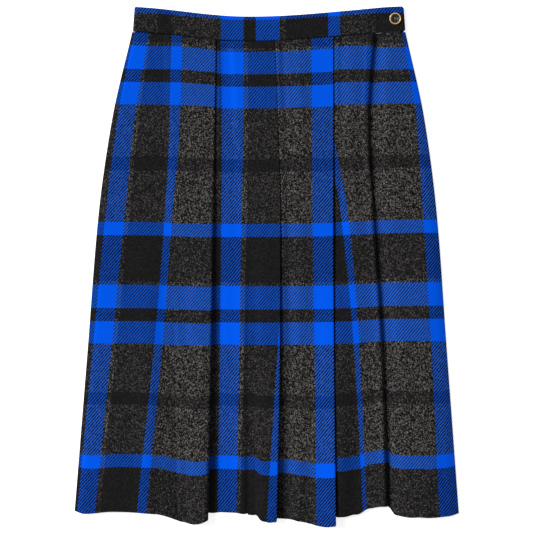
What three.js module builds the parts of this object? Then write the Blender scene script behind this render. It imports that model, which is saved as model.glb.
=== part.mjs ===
// A pleated plaid skirt laid flat on its back: front and back panels in knife pleats, one folded waistband
// and its button. Millimetres, X across the skirt, Y up to the waist, Z off the surface it lies on.
import * as THREE from "three";

// Driving sizes
const WALL = 1.2; // thickness of the woollen cloth
const AIR = 0.3; // room between two layers that lie on each other, and between two pieces at a seam
const PITCH = WALL + AIR;
const CLOTH_LENGTH = 616.9; // from the waistband's seam to the hem
const SEAM_Y = 301.6; // the waistband's seam, at the sides
const SEAM_DIP = 12.9; // how far the seam sags between the sides
const SEAM_LOW = { x: -21, left: 169, right: 225 }; // where it sags most, and how far the sag reaches each way
const DIP_FADE = 115; // the sag of the weave dies away over this length below the seam
const WAVE_START = 0.62; // the hem's waves begin at this share of the cloth's length
const PUFF_POWER = 1.5; // how the folds open from the waist to the hem
const FACET = 24; // longest facet across a panel, at the hem

// Heights of the cloth's mid surface above the floor, from the lowest layer up
const BACK_FACE = WALL / 2;
const BACK_TOP = BACK_FACE + 2 * PITCH; // third layer of a back pleat
const HIDDEN = BACK_TOP + PITCH; // lowest layer of a front pleat
const RETURN = HIDDEN + PITCH;
const FACE = RETURN + PITCH; // the layer that shows, pressed flat
const EDGE = BACK_FACE + PITCH; // the front's side edge, on the back's
const PRESSED = PITCH / 2; // bend radius of a fold that is pressed flat

// Distances below the seam at which the tables give the places of folds: waist, hip, thigh, calf and hem
const LEVELS = [0, 113, 235, 408, CLOTH_LENGTH];

// The front, from its left side to its right as it is seen. Each row is one line down the cloth: x at the five
// levels, z at the waist and at the hem, and how far the cloth droops below a straight hem there. A row with a
// depth is the outer edge of a knife pleat: the cloth turns under it by that depth, where its inner fold droops by
// `under`, then runs on below.
const FRONT = [
  { line: "left side", x: [-172, -198, -215.4, -229.3, -246], z: [EDGE, EDGE], droop: -1.5 },
  { line: "left shoulder", x: [-164.5, -189, -205, -218, -233.5], z: [4.8, 8], droop: 1.5 },
  { line: "left belly", x: [-142.5, -154, -164.5, -178.5, -198], z: [5.4, 11], droop: -1.5 },
  { line: "left dip", x: [-132.5, -132.5, -134, -136.5, -141.5], z: [5.6, 8.5], droop: 1.5 },
  { line: "left foot", x: [-124.5, -120.5, -119, -117, -113], z: [FACE, 12.5], droop: 10 },
  { line: "left crest", x: [-98, -95.5, -94, -93.5, -93], z: [FACE, 17.6], droop: 14 },
  { line: "left pleat", x: [-65, -66.5, -68, -71, -75], depth: [55.5, 51, 48, 43, 35], radius: 5.5, droop: 10, under: 4 },
  { line: "centre lee", x: [-58, -58, -59, -61, -64.5], z: [HIDDEN, 4.5], droop: 0 },
  { line: "centre rise", x: [-49.5, -45.5, -41.5, -39, -39], z: [5.2, 5.5], droop: 0 },
  { line: "centre foot", x: [-41.5, -35, -29, -26.5, -26.5], z: [FACE, 9], droop: 2 },
  { line: "centre bank", x: [-34, -27.5, -21, -17.5, -16], z: [FACE, 11], droop: 2.5 },
  { line: "centre crest", x: [-14.5, -11, -7, -6, -5], z: [FACE, 16.6], droop: 10 },
  { line: "centre pleat", x: [10, 14, 17.5, 16.5, 12], depth: [48.5, 46, 43.5, 40.5, 36], radius: 5, droop: 11, under: 0 },
  { line: "right lee", x: [18, 22, 25, 24.5, 20], z: [HIDDEN, 5.5], droop: 7.5 },
  { line: "right foot", x: [28.5, 32.5, 38, 46.5, 58], z: [FACE, 15], droop: 14 },
  { line: "right crest", x: [55.5, 57, 58, 61, 68.5], z: [FACE, 19.6], droop: 18 },
  { line: "right pleat", x: [85, 85, 84.8, 85.7, 88.2], depth: [53.5, 49.5, 43.8, 36.7, 27.7], radius: 6.5, droop: 16, under: 8 },
  { line: "side lee", x: [93, 93, 92, 93, 95.5], z: [HIDDEN, 4.5], droop: 5 },
  { line: "side slope", x: [109.5, 107, 107, 110.5, 116], z: [5.6, 7], droop: 2.5 },
  { line: "tuck brink", x: [131, 123.5, 128, 139, 142.5], z: [7, 10], droop: -7.5 },
  { line: "tuck lip", x: [136, 129.3, 135.5, 145.8, 152], z: [7.8, 10.5], droop: -8.3 },
  { line: "tuck valley", x: [141.5, 133.8, 140, 150.3, 156.5], z: [4.2, 2.4], droop: -8.5 },
  { line: "tuck bank", x: [148, 142, 147, 158, 166], z: [5.2, 12], droop: 3 },
  { line: "right belly", x: [158, 173.5, 183.5, 192.5, 196.5], z: [5.4, 13.5], droop: 6.5 },
  { line: "right shoulder", x: [169, 192.5, 208, 220, 233.5], z: [4.8, 8], droop: 4.5 },
  { line: "right side", x: [178, 202.5, 218.4, 231.1, 246.6], z: [EDGE, EDGE], droop: 1.5 },
];

// The back as it is seen from behind, its face down on the floor. Heights here are those of a panel that lies
// face up, and backPlace turns it over. Its pleats lie under the front's, so that the skirt packs flat.
const BACK = [
  { line: "left side", x: [-178, -202.5, -218.4, -231.1, -246.6], z: [FACE, FACE], droop: -2 },
  { line: "left pleat", x: [-31, -35.5, -41, -49, -60.5], depth: [53.5, 49.5, 43.5, 36, 27], radius: PRESSED, droop: -2, under: -2 },
  { line: "left lee", x: [-24, -28.5, -34, -42, -53.5], z: [FACE, FACE], droop: -2 },
  { line: "centre pleat", x: [38.5, 32, 26, 24, 24], depth: [48.5, 46, 43.5, 40.5, 36], radius: PRESSED, droop: -2, under: -2 },
  { line: "centre lee", x: [45.5, 39, 33, 31, 31], z: [FACE, FACE], droop: -2 },
  { line: "right pleat", x: [120.5, 117.5, 116, 114, 110], depth: [55.5, 51, 48, 43, 35], radius: PRESSED, droop: -2, under: -2 },
  { line: "right lee", x: [127.5, 124.5, 123, 121, 117], z: [FACE, FACE], droop: -2 },
  { line: "right side", x: [172, 198, 215.4, 229.3, 246], z: [FACE, FACE], droop: -2 },
];
const BACK_HEM_TUCK = { x: -155, half: 40, rise: 9 }; // the back's hem stays above the front's tuck

// Waistband: one strip folded round the left side, its front end buttoned over its back end on the right
const BAND = {
  left: -171.4,
  right: 178,
  height: 31.4,
  thickness: 3,
  topTaper: 0.987, // the top edge is a little shorter than the seam
  topFold: 0.8, // rounding of the folded top edge
  frontZ: 7.5,
  lapZ: 4.8, // the front end, on the underlap
  lapStart: 120,
  lapEnd: 150,
};
const BUTTON = { x: 164.8, y: 317.4, radius: 5.4, thickness: 2, holeRadius: 0.8, holePitch: 1.5, rimWidth: 1.8 };

// Cubic through the knots that never swings past them
function smoothCurve(xs, ys) {
  const last = xs.length - 1;
  const slope = xs.slice(1).map((x, i) => (ys[i + 1] - ys[i]) / (x - xs[i]));
  const tangent = xs.map((_, i) => {
    if (i === 0) return slope[0];
    if (i === last) return slope[last - 1];
    return slope[i - 1] * slope[i] <= 0 ? 0 : (2 * slope[i - 1] * slope[i]) / (slope[i - 1] + slope[i]);
  });
  return (x) => {
    let i = 0;
    while (i < last - 1 && x > xs[i + 1]) i += 1;
    const width = xs[i + 1] - xs[i];
    const t = THREE.MathUtils.clamp((x - xs[i]) / width, 0, 1);
    const rise = (3 - 2 * t) * t * t;
    const bend = t * (1 - t) * width;
    return ys[i] + (ys[i + 1] - ys[i]) * rise + bend * ((1 - t) * tangent[i] - t * tangent[i + 1]);
  };
}

// A row of a table at one distance below the seam
function rowAt(row, down) {
  const puff = (down / CLOTH_LENGTH) ** PUFF_POWER;
  const at = { x: smoothCurve(LEVELS, row.x)(down), droop: row.droop, under: row.under };
  if (row.z) at.z = THREE.MathUtils.lerp(row.z[0], row.z[1], puff);
  if (row.depth) {
    at.depth = smoothCurve(LEVELS, row.depth)(down);
    at.radius = THREE.MathUtils.lerp(PRESSED, row.radius, puff);
  }
  return at;
}

// Points of a run of cloth between knots, the stretch before each knot cut into its own number of steps
function faceRun(knots) {
  const xs = knots.map((k) => k.x);
  const height = smoothCurve(xs, knots.map((k) => k.z));
  const droop = smoothCurve(xs, knots.map((k) => k.droop));
  const points = [];
  for (let k = 0; k < xs.length - 1; k += 1) {
    const { steps } = knots[k + 1];
    for (let s = 0; s < steps; s += 1) {
      const x = THREE.MathUtils.lerp(xs[k], xs[k + 1], s / steps);
      points.push({ x, z: height(x), droop: droop(x) });
    }
  }
  return points;
}

// Points of the cloth round a knife pleat: outer fold, return, inner fold and the hidden run to the next panel
function pleatRun(fold, nextDroop) {
  const { x, depth, radius, droop, under } = fold;
  const inner = x - depth;
  const turn = (cx, cz, r, from, to, count) =>
    Array.from({ length: count }, (_, i) => {
      const angle = THREE.MathUtils.lerp(from, to, i / count);
      return { x: cx + r * Math.cos(angle), z: cz + r * Math.sin(angle) };
    });
  const outer = [
    ...turn(x - radius, RETURN + radius, radius, Math.PI / 2, -Math.PI / 2, 6),
    { x: x - radius, z: RETURN },
    { x: x - radius - (depth - radius) / 2, z: RETURN },
  ];
  const lower = [
    ...turn(inner + PRESSED, HIDDEN + PRESSED, PRESSED, Math.PI / 2, (3 * Math.PI) / 2, 4),
    { x: inner + PRESSED, z: HIDDEN },
    { x: x - depth / 2, z: HIDDEN },
  ];
  const drooping = (points, from, to) =>
    points.map((p, i) => ({ ...p, droop: THREE.MathUtils.lerp(from, to, i / points.length) }));
  return [...drooping(outer, droop, under), ...drooping(lower, under, nextDroop)];
}

// The whole section of a panel at one distance below the seam
function sectionPath(table, down) {
  const rows = table.map((row, i) => {
    const width = i ? row.x[LEVELS.length - 1] - table[i - 1].x[LEVELS.length - 1] : 0;
    return { ...rowAt(row, down), steps: Math.max(2, Math.ceil(width / FACET)) };
  });
  const points = [];
  let knots = [];
  rows.forEach((row, i) => {
    if (row.depth === undefined) {
      knots.push(row);
      return;
    }
    const top = { ...row, x: row.x - row.radius, z: RETURN + 2 * row.radius };
    points.push(...faceRun([...knots, top]));
    points.push(...pleatRun(row, rows[i + 1].droop));
    knots = [{ x: row.x, z: HIDDEN, droop: rows[i + 1].droop }];
  });
  points.push(...faceRun(knots));
  const { x, z, droop } = knots[knots.length - 1];
  points.push({ x, z, droop });
  return points;
}

// Both sides of a wall whose mid line is the path, as one closed loop
function wallLoop(path, thickness) {
  const side = (sign) =>
    path.map((p, i) => {
      const before = path[Math.max(i - 1, 0)];
      const after = path[Math.min(i + 1, path.length - 1)];
      const run = new THREE.Vector2(after.x - before.x, after.z - before.z).normalize();
      return { ...p, x: p.x - (run.y * thickness * sign) / 2, z: p.z + (run.x * thickness * sign) / 2 };
    });
  return [...side(1), ...side(-1).reverse()];
}

// How far the weave sags at x, at the waistband's seam
function seamSag(x) {
  const share = Math.abs(x - SEAM_LOW.x) / (x < SEAM_LOW.x ? SEAM_LOW.left : SEAM_LOW.right);
  return SEAM_DIP * Math.cos((Math.min(share, 1) * Math.PI) / 2) ** 2;
}

// Y of a point of the cloth, from how far below the seam it was woven
function clothY(x, down, droop) {
  const wave = Math.max(0, (down / CLOTH_LENGTH - WAVE_START) / (1 - WAVE_START)) ** 1.5;
  return SEAM_Y - down - seamSag(x) * Math.exp(-down / DIP_FADE) - droop * wave;
}

// Closed mesh through rings of equal count. Each ring runs up one side of a wall and back down the other.
function loft(rings) {
  const count = rings[0].length;
  const corners = rings.flat();
  const faces = [];
  const quad = (a, b, c, d) => faces.push(a, c, b, a, d, c);
  for (let r = 0; r < rings.length - 1; r += 1) {
    for (let i = 0; i < count; i += 1) {
      const j = (i + 1) % count;
      quad(r * count + i, r * count + j, (r + 1) * count + j, (r + 1) * count + i);
    }
  }
  const end = (rings.length - 1) * count;
  for (let i = 0; i < count / 2 - 1; i += 1) {
    quad(i, count - 1 - i, count - 2 - i, i + 1);
    quad(end + i, end + i + 1, end + count - 2 - i, end + count - 1 - i);
  }
  const geometry = new THREE.BufferGeometry();
  geometry.setAttribute("position", new THREE.Float32BufferAttribute(corners.flatMap((c) => c.toArray()), 3));
  geometry.setIndex(faces);
  return geometry;
}

const cloth = (color) => new THREE.MeshStandardMaterial({ color, roughness: 0.92, metalness: 0 });

function named(name, geometry, material) {
  const mesh = new THREE.Mesh(geometry, material);
  mesh.name = name;
  return mesh;
}

// Distances below the seam at which the walls have a section, closer together towards the hem
function stations(count) {
  return Array.from({ length: count + 1 }, (_, i) => AIR + (CLOTH_LENGTH - AIR) * (i / count) ** 0.9);
}

function makeFront() {
  const rings = stations(14).map((down) =>
    wallLoop(sectionPath(FRONT, down), WALL).map((p) => new THREE.Vector3(p.x, clothY(p.x, down, p.droop), p.z)),
  );
  return named("skirt_front", loft(rings), cloth(0x2c3f66));
}

// Turns a point of the back panel over, so that its face lies on the floor
function backPlace(p, down) {
  const { x: tuck, half, rise } = BACK_HEM_TUCK;
  const lift = rise * Math.exp(-(((p.x - tuck) / half) ** 2));
  return new THREE.Vector3(-p.x, clothY(-p.x, down, p.droop - lift), FACE + BACK_FACE - p.z);
}

function makeBack() {
  const rings = stations(10).map((down) =>
    wallLoop(sectionPath(BACK, down), WALL).map((p) => backPlace(p, down)),
  );
  return named("skirt_back", loft(rings), cloth(0x26344f));
}

// Mid line of the waistband, from its front end round the left side to its back end
function bandPath() {
  const middle = (BAND.frontZ + BAND.thickness / 2) / 2;
  const bend = BAND.frontZ - middle;
  const turnX = BAND.left + bend + BAND.thickness / 2;
  const path = [];
  for (let i = 0; i < 18; i += 1) {
    const x = THREE.MathUtils.lerp(BAND.right, turnX, i / 18);
    const lap = THREE.MathUtils.smoothstep(x, BAND.lapStart, BAND.lapEnd);
    path.push({ x, z: THREE.MathUtils.lerp(BAND.frontZ, BAND.lapZ, lap) });
  }
  for (let i = 0; i < 8; i += 1) {
    const angle = Math.PI / 2 + (Math.PI * i) / 8;
    path.push({ x: turnX + bend * Math.cos(angle), z: middle + bend * Math.sin(angle) });
  }
  for (let i = 0; i <= 12; i += 1) {
    path.push({ x: THREE.MathUtils.lerp(turnX, BAND.right, i / 12), z: BAND.thickness / 2 });
  }
  return path;
}

function makeBand() {
  const path = bandPath();
  const { thickness, height, topFold, topTaper } = BAND;
  // Across the strip: out from its mid line, and up from the seam
  const outline = [
    [thickness / 2, 0],
    [thickness / 2, height - topFold],
    [thickness / 2 - topFold, height],
    [-thickness / 2 + topFold, height],
    [-thickness / 2, height - topFold],
    [-thickness / 2, 0],
  ];
  const rings = path.map((p, i) => {
    const before = path[Math.max(i - 1, 0)];
    const after = path[Math.min(i + 1, path.length - 1)];
    const run = new THREE.Vector2(after.x - before.x, after.z - before.z).normalize();
    return outline.map(([out, up]) => {
      const x = (p.x - run.y * out) * THREE.MathUtils.lerp(1, topTaper, up / height);
      return new THREE.Vector3(x, SEAM_Y - seamSag(x) + up, p.z + run.x * out);
    });
  });
  return named("waistband", loft(rings), cloth(0x243556));
}

// Dark four-hole button, sewn on the waistband's front end
function makeButton() {
  const disc = new THREE.Shape().absarc(0, 0, BUTTON.radius, 0, 2 * Math.PI);
  for (const [sx, sy] of [[1, 1], [-1, 1], [-1, -1], [1, -1]]) {
    const hole = new THREE.Path();
    hole.absarc(sx * BUTTON.holePitch, sy * BUTTON.holePitch, BUTTON.holeRadius, 0, 2 * Math.PI, true);
    disc.holes.push(hole);
  }
  const geometry = new THREE.ExtrudeGeometry(disc, { depth: BUTTON.thickness, bevelEnabled: false, curveSegments: 16 });
  const material = new THREE.MeshStandardMaterial({ color: 0x191917, roughness: 0.35, metalness: 0 });
  return named("button", geometry, material);
}

// Brass rim round the button, with a rounded top
function makeRim() {
  const inner = BUTTON.radius + AIR;
  const width = BUTTON.rimWidth;
  const top = BUTTON.thickness;
  const profile = [
    new THREE.Vector2(inner, 0),
    new THREE.Vector2(inner + width, 0),
    new THREE.Vector2(inner + width, top * 0.6),
    new THREE.Vector2(inner + width * 0.7, top * 1.15),
    new THREE.Vector2(inner + width * 0.3, top * 1.15),
    new THREE.Vector2(inner, top * 0.6),
    new THREE.Vector2(inner, 0),
  ];
  const geometry = new THREE.LatheGeometry(profile, 32).rotateX(Math.PI / 2);
  const material = new THREE.MeshStandardMaterial({ color: 0xc0a060, roughness: 0.35, metalness: 1 });
  return named("button_rim", geometry, material);
}

const skirt = new THREE.Group();
skirt.add(makeFront(), makeBack(), makeBand());
const buttonGroup = new THREE.Group();
buttonGroup.position.set(BUTTON.x, BUTTON.y, BAND.lapZ + BAND.thickness / 2 + AIR);
buttonGroup.add(makeButton(), makeRim());
skirt.add(buttonGroup);

export default skirt;
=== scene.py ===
"""Looks of a plaid pleated skirt that lies flat on its back, front up.

Tables and sizes are in millimetres, as in the CAD source: X across the skirt, Y up to the waist, Z off the
floor. Meshes are in metres. Each cloth piece carries a UV map of its own weave: U across the warp, V down it.
"""

import logging
import math
from dataclasses import dataclass, field
from enum import Enum
from typing import Callable, Iterable, Sequence

import bpy
import numpy as np
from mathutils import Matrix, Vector


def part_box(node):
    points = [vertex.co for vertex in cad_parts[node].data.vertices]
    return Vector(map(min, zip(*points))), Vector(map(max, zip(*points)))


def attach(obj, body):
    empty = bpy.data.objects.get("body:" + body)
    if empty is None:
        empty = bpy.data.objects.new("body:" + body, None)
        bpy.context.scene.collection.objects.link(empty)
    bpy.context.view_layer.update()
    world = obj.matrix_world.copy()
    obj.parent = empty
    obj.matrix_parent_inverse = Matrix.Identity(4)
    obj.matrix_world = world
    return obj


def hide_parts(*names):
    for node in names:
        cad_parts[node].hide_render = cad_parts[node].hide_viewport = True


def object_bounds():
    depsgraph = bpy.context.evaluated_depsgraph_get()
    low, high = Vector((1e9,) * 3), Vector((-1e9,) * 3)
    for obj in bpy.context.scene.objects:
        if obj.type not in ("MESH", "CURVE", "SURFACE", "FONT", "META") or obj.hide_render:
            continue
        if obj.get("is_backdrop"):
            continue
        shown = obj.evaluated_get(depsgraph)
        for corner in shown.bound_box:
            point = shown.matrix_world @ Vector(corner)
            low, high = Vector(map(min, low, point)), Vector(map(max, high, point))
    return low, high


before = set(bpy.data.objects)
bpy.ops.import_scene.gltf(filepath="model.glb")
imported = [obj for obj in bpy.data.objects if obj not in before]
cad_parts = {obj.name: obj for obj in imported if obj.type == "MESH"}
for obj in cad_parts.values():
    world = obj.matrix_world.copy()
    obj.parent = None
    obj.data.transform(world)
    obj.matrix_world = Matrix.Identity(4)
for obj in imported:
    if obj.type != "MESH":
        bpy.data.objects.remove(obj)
LOG = logging.getLogger("skirt")

MM = 0.001
BODY = "root"
WEAVE_MAP = "weave"
CLOTH_MAP = "cloth"

# Cloth, as it is built in the CAD source
WALL = 1.2
AIR = 0.3
PITCH = WALL + AIR
CLOTH_LENGTH = 616.9
SEAM_Y = 301.6
SEAM_DIP = 12.9
SEAM_LOW_X = -21.0
SEAM_LOW_LEFT = 169.0
SEAM_LOW_RIGHT = 225.0
DIP_FADE = 115.0
WAVE_START = 0.62
WAVE_POWER = 1.5
PUFF_POWER = 1.5
BACK_FACE = WALL / 2
HIDDEN = BACK_FACE + 3 * PITCH
RETURN = HIDDEN + PITCH
FACE = RETURN + PITCH
EDGE = BACK_FACE + PITCH
PRESSED = PITCH / 2
LOWEST = 2.2
LEVELS = (0.0, 113.0, 235.0, 408.0, CLOTH_LENGTH)

# How far the weave runs ahead of the distance below the seam: at the hem, and in the waist's sag
HEM_EASE = 8.5
HEM_EASE_START = 380.0
HEM_EASE_RUN = 160.0
SAG_LEAD = 3.0
SAG_LEAD_FADE = 70.0
SAG_LAG = 1.5
SAG_LAG_FADE = 150.0

Levels = tuple[float, float, float, float, float]
Colour = tuple[float, float, float, float]


class Yarn(Enum):
    """The three yarns of the plaid."""

    BLUE = "blue"
    BLACK = "black"
    CHARCOAL = "charcoal"


def linear(value: float) -> float:
    """Turns one sRGB channel of 0 to 255 into its linear value."""
    share = value / 255
    return share / 12.92 if share <= 0.04045 else ((share + 0.055) / 1.055) ** 2.4


def srgb(red: float, green: float, blue: float) -> Colour:
    """Turns a colour of 0 to 255 a channel into the linear one that shaders use."""
    return (linear(red), linear(green), linear(blue), 1.0)


def ease(t: float | np.ndarray) -> float | np.ndarray:
    """Smooth rise from 0 to 1."""
    return t * t * (3 - 2 * t)


def smooth_curve(xs: Sequence[float], ys: Sequence[float], at: np.ndarray) -> np.ndarray:
    """Cubic through knots that never swings past them.

    Args:
        xs: places of the knots, rising.
        ys: values at the knots.
        at: places to read.

    Returns:
        The values there.
    """
    x = np.asarray(xs, float)
    y = np.asarray(ys, float)
    slope = np.diff(y) / np.diff(x)
    tangent = np.empty_like(x)
    tangent[0] = slope[0]
    tangent[-1] = slope[-1]
    before = slope[:-1]
    after = slope[1:]
    same = before * after > 0
    total = np.where(same, before + after, 1.0)
    tangent[1:-1] = np.where(same, 2 * before * after / total, 0.0)
    i = np.clip(np.searchsorted(x, at, side="right") - 1, 0, len(x) - 2)
    width = x[i + 1] - x[i]
    t = np.clip((at - x[i]) / width, 0, 1)
    bend = t * (1 - t) * width
    return y[i] + (y[i + 1] - y[i]) * ease(t) + bend * ((1 - t) * tangent[i] - t * tangent[i + 1])


def at_level(values: Levels, down: float) -> float:
    """Value of a table's five levels at one distance below the seam."""
    return float(smooth_curve(LEVELS, values, np.array([down]))[0])


def seam_sag(x: np.ndarray) -> np.ndarray:
    """How far the waistband's seam sags at x."""
    share = np.abs(x - SEAM_LOW_X) / np.where(x < SEAM_LOW_X, SEAM_LOW_LEFT, SEAM_LOW_RIGHT)
    return SEAM_DIP * np.cos(np.minimum(share, 1) * math.pi / 2) ** 2


def cloth_y(x: np.ndarray, down: float, droop: np.ndarray) -> np.ndarray:
    """Y of points of the cloth that were woven at one distance below the seam."""
    wave = max(0.0, (down / CLOTH_LENGTH - WAVE_START) / (1 - WAVE_START)) ** WAVE_POWER
    return SEAM_Y - down - seam_sag(x) * math.exp(-down / DIP_FADE) - droop * wave


def weft_ease(x: np.ndarray, down: float) -> np.ndarray:
    """How far the weave is ahead of the distance below the seam: it eases in the sag and towards the hem.

    Args:
        x: places across the skirt.
        down: the distance.

    Returns:
        The lead at each place.
    """
    t = min(1.0, max(0.0, (down - HEM_EASE_START) / HEM_EASE_RUN))
    at_sag = SAG_LEAD * math.exp(-down / SAG_LEAD_FADE) - SAG_LAG * (1 - math.exp(-down / SAG_LAG_FADE))
    return HEM_EASE * ease(t) + seam_sag(x) / SEAM_DIP * at_sag


def running_length(points: np.ndarray) -> np.ndarray:
    """Length along a row of points up to each of them."""
    return np.cumsum(np.hypot(*np.diff(points, axis=0, prepend=points[:1]).T))


def directions(points: np.ndarray) -> np.ndarray:
    """Unit directions along a row of points."""
    run = np.vstack([points[1:], points[-1:]]) - np.vstack([points[:1], points[:-1]])
    return run / np.linalg.norm(run, axis=1, keepdims=True)


@dataclass(frozen=True)
class FoldLine:
    """One line down a panel: a bend, or the outer edge of a knife pleat if it has a depth.

    A pleat's radius is its outer fold's half height at the hem, and its tip is the fold's reach as a share of
    it. Its roundness is 1 for a round fold and less for one that is pressed square.
    """

    name: str
    x: Levels
    z: tuple[float, float] = (FACE, FACE)
    droop: float = 0.0
    depth: Levels | None = None
    radius: float = PRESSED
    under: float = 0.0
    tip: float = 1.0
    roundness: float = 1.0


@dataclass(frozen=True)
class StripeTrack:
    """Where an edge of a warp stripe runs down a panel, its place in the weave, and its lengthwise slip."""

    name: str
    x: Levels
    weave: Levels
    slip: Levels = (0.0, 0.0, 0.0, 0.0, 0.0)


@dataclass(frozen=True)
class Crease:
    """A soft trough: its line, depth (below zero for a ridge), half width and reach."""

    name: str
    x: Levels
    depth: float
    half: float
    start: float
    end: float

    def lift(self, x: np.ndarray, down: float) -> np.ndarray:
        """How far the crease raises the cloth.

        Args:
            x: places across the skirt.
            down: distance below the seam.

        Returns:
            The rise at each place.
        """
        middle = (self.start + self.end) / 2
        reach = (self.end - self.start) / 2
        fade = max(0.0, 1 - ((down - middle) / reach) ** 2)
        return -self.depth * fade * np.exp(-(((x - at_level(self.x, down)) / self.half) ** 2))


@dataclass(frozen=True)
class Ripple:
    """A small wave of a hem: where it is, its half width and how far it hangs down."""

    x: float
    half: float
    drop: float

    def droop(self, x: np.ndarray) -> np.ndarray:
        """How far the hem hangs down for it at x."""
        return self.drop * np.exp(-(((x - self.x) / self.half) ** 2))


def level(value: float) -> Levels:
    """The same value at all five levels."""
    return (value, value, value, value, value)


def moved(line: Levels, by: float) -> Levels:
    """A line moved to the right."""
    return tuple(x + by for x in line)


def mirrored(line: Levels) -> Levels:
    """A line mirrored from side to side."""
    return tuple(-x for x in line)


# Outer edges of the front: its sides and its three knife pleats
LEFT_SIDE: Levels = (-172, -198, -215.4, -229.3, -246)
LEFT_PLEAT: Levels = (-65, -66.5, -68, -71, -75)
CENTRE_PLEAT: Levels = (10, 14, 17.5, 16.8, 12.8)
RIGHT_PLEAT: Levels = (85, 85, 84.8, 85.7, 88.2)
RIGHT_SIDE: Levels = (178, 202.5, 218.4, 231.1, 246.6)

FRONT_LINES = (
    FoldLine("left side", LEFT_SIDE, (EDGE, EDGE), -1.5),
    FoldLine("left shoulder", (-164.5, -189, -205, -218, -233.5), (4.8, 8), 1.5),
    FoldLine("left belly", (-142.5, -154, -164.5, -178.5, -198), (5.4, 11), -1.5),
    FoldLine("left dip", (-132.5, -132.5, -134, -136.5, -141.5), (5.6, 8.5), 1.5),
    FoldLine("left foot", (-124.5, -120.5, -119, -117, -113), (FACE, 12.5), 10),
    FoldLine("left crest", (-98, -95.5, -94, -93.5, -93), (FACE, 17.6), 14),
    FoldLine("left pleat", LEFT_PLEAT, droop=10, depth=(55.5, 51, 48, 43, 35), radius=5.5, under=4),
    FoldLine("centre lee", (-58, -58, -59, -61, -64.5), (HIDDEN, 4.5), 0),
    FoldLine("centre rise", (-49.5, -45.5, -41.5, -39, -39), (5.2, 5.5), 0),
    FoldLine("centre foot", (-41.5, -35, -29, -26.5, -26.5), (FACE, 9), 2),
    FoldLine("centre bank", (-34, -27.5, -21, -17.5, -16), (FACE, 11), 2.5),
    FoldLine("centre crest", (-14.5, -11, -7, -6, -5), (FACE, 16.6), 10),
    FoldLine(
        "centre pleat", CENTRE_PLEAT, droop=11, depth=(48.5, 46, 43.5, 40.8, 36.8),
        radius=5, tip=0.35, roundness=0.35,
    ),
    FoldLine("right lee", (18, 22, 25, 24.5, 20), (HIDDEN, 5.5), 7.5),
    FoldLine("right foot", (28.5, 32.5, 38, 46.5, 58), (FACE, 15), 14),
    FoldLine("right crest", (55.5, 57, 58, 61, 68.5), (FACE, 19.6), 18),
    FoldLine(
        "right pleat", RIGHT_PLEAT, droop=16, depth=(53.5, 49.5, 43.8, 36.7, 27.7),
        radius=6.5, under=8, tip=0.2, roundness=0.25,
    ),
    FoldLine("side lee", (93, 93, 92, 93, 95.5), (HIDDEN, 4.5), 5),
    FoldLine("side slope", (109.5, 107, 107, 110.5, 116), (5.6, 7), 2.5),
    FoldLine("tuck brink", (131, 123.5, 128, 139, 142.5), (7, 10), -7.5),
    FoldLine("tuck lip", (136, 129.3, 135.5, 145.8, 152), (7.8, 10.5), -8.3),
    FoldLine("tuck valley", (141.5, 133.8, 140, 150.3, 156.5), (4.2, 2.4), -8.5),
    FoldLine("tuck bank", (148, 142, 147, 158, 166), (5.2, 12), 3),
    FoldLine("right belly", (158, 173.5, 183.5, 192.5, 196.5), (5.4, 13.5), 6.5),
    FoldLine("right shoulder", (169, 192.5, 208, 220, 233.5), (4.8, 8), 4.5),
    FoldLine("right side", RIGHT_SIDE, (EDGE, EDGE), 1.5),
)

FRONT_CREASES = (
    Crease("left swell", (-152, -152, -152, -151, -152), -4.5, 15, 250, 950),
    Crease("left hollow", (-112, -112, -111, -110, -109), 8, 15, 250, 950),
    Crease("left recess", (-56, -57, -58, -60, -62), 3.2, 7, 150, 900),
    Crease("left recess at the waist", (-60, -61, -62, -64, -67), -1.2, 4, -180, 180),
    Crease("centre swell", (-38, -36, -35, -33.5, -33), -4.6, 8.5, 250, 950),
    Crease("centre hollow", (-8, -10, -14, -17.5, -18), 4.8, 8.5, 250, 950),
    Crease("centre recess at the hip", (13, 17, 20.5, 20, 17), -4, 8, -500, 520),
    Crease("centre recess", (28, 31, 33, 31.5, 28.5), 3.4, 7, 250, 950),
    Crease("third bay swell", (38, 38, 38, 38, 38), -1.2, 8, 200, 950),
    Crease("third blue brink", (42, 43, 45, 50, 54), -2, 7, -300, 450),
    Crease("right hollow", (56, 56, 58, 59, 61), 7.4, 16, 200, 1000),
    Crease("right recess at the hip", (90.5, 90.5, 90, 91, 93), -1.7, 3.5, -250, 380),
    Crease("right recess", (92, 92, 92, 92.5, 94), -9.5, 16, 250, 950),
    Crease("side swell", (108, 107, 110, 119, 127), -3.4, 13, -250, 560),
    Crease("tuck lip", (135.5, 128.5, 134.5, 145.5, 151.7), -2.8, 4, -200, 1000),
    Crease("tuck floor", (142, 134.5, 140.3, 151, 157.5), 3.6, 5, -300, 1000),
    Crease("tuck bed", (147, 141.5, 147, 160, 167), 4.5, 6.5, -300, 1000),
    Crease("right swell", (150, 157, 164, 172, 178), -2, 14, -200, 450),
)
FRONT_RIPPLES = (
    Ripple(-113, 5, 0.7),
    Ripple(-82.5, 6, 1.4),
    Ripple(-68, 5, 0.9),
    Ripple(-23, 5, -1.6),
    Ripple(-14.5, 3.5, -2.2),
    Ripple(3, 4, 1),
    Ripple(26, 8, 0.7),
    Ripple(40, 6, 1),
    Ripple(56, 8, 0.7),
    Ripple(68, 5, -1.4),
    Ripple(110, 5, -1),
    Ripple(128.5, 6, -2.3),
    Ripple(159.5, 5, 2),
    Ripple(195, 8, -1.2),
)

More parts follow.
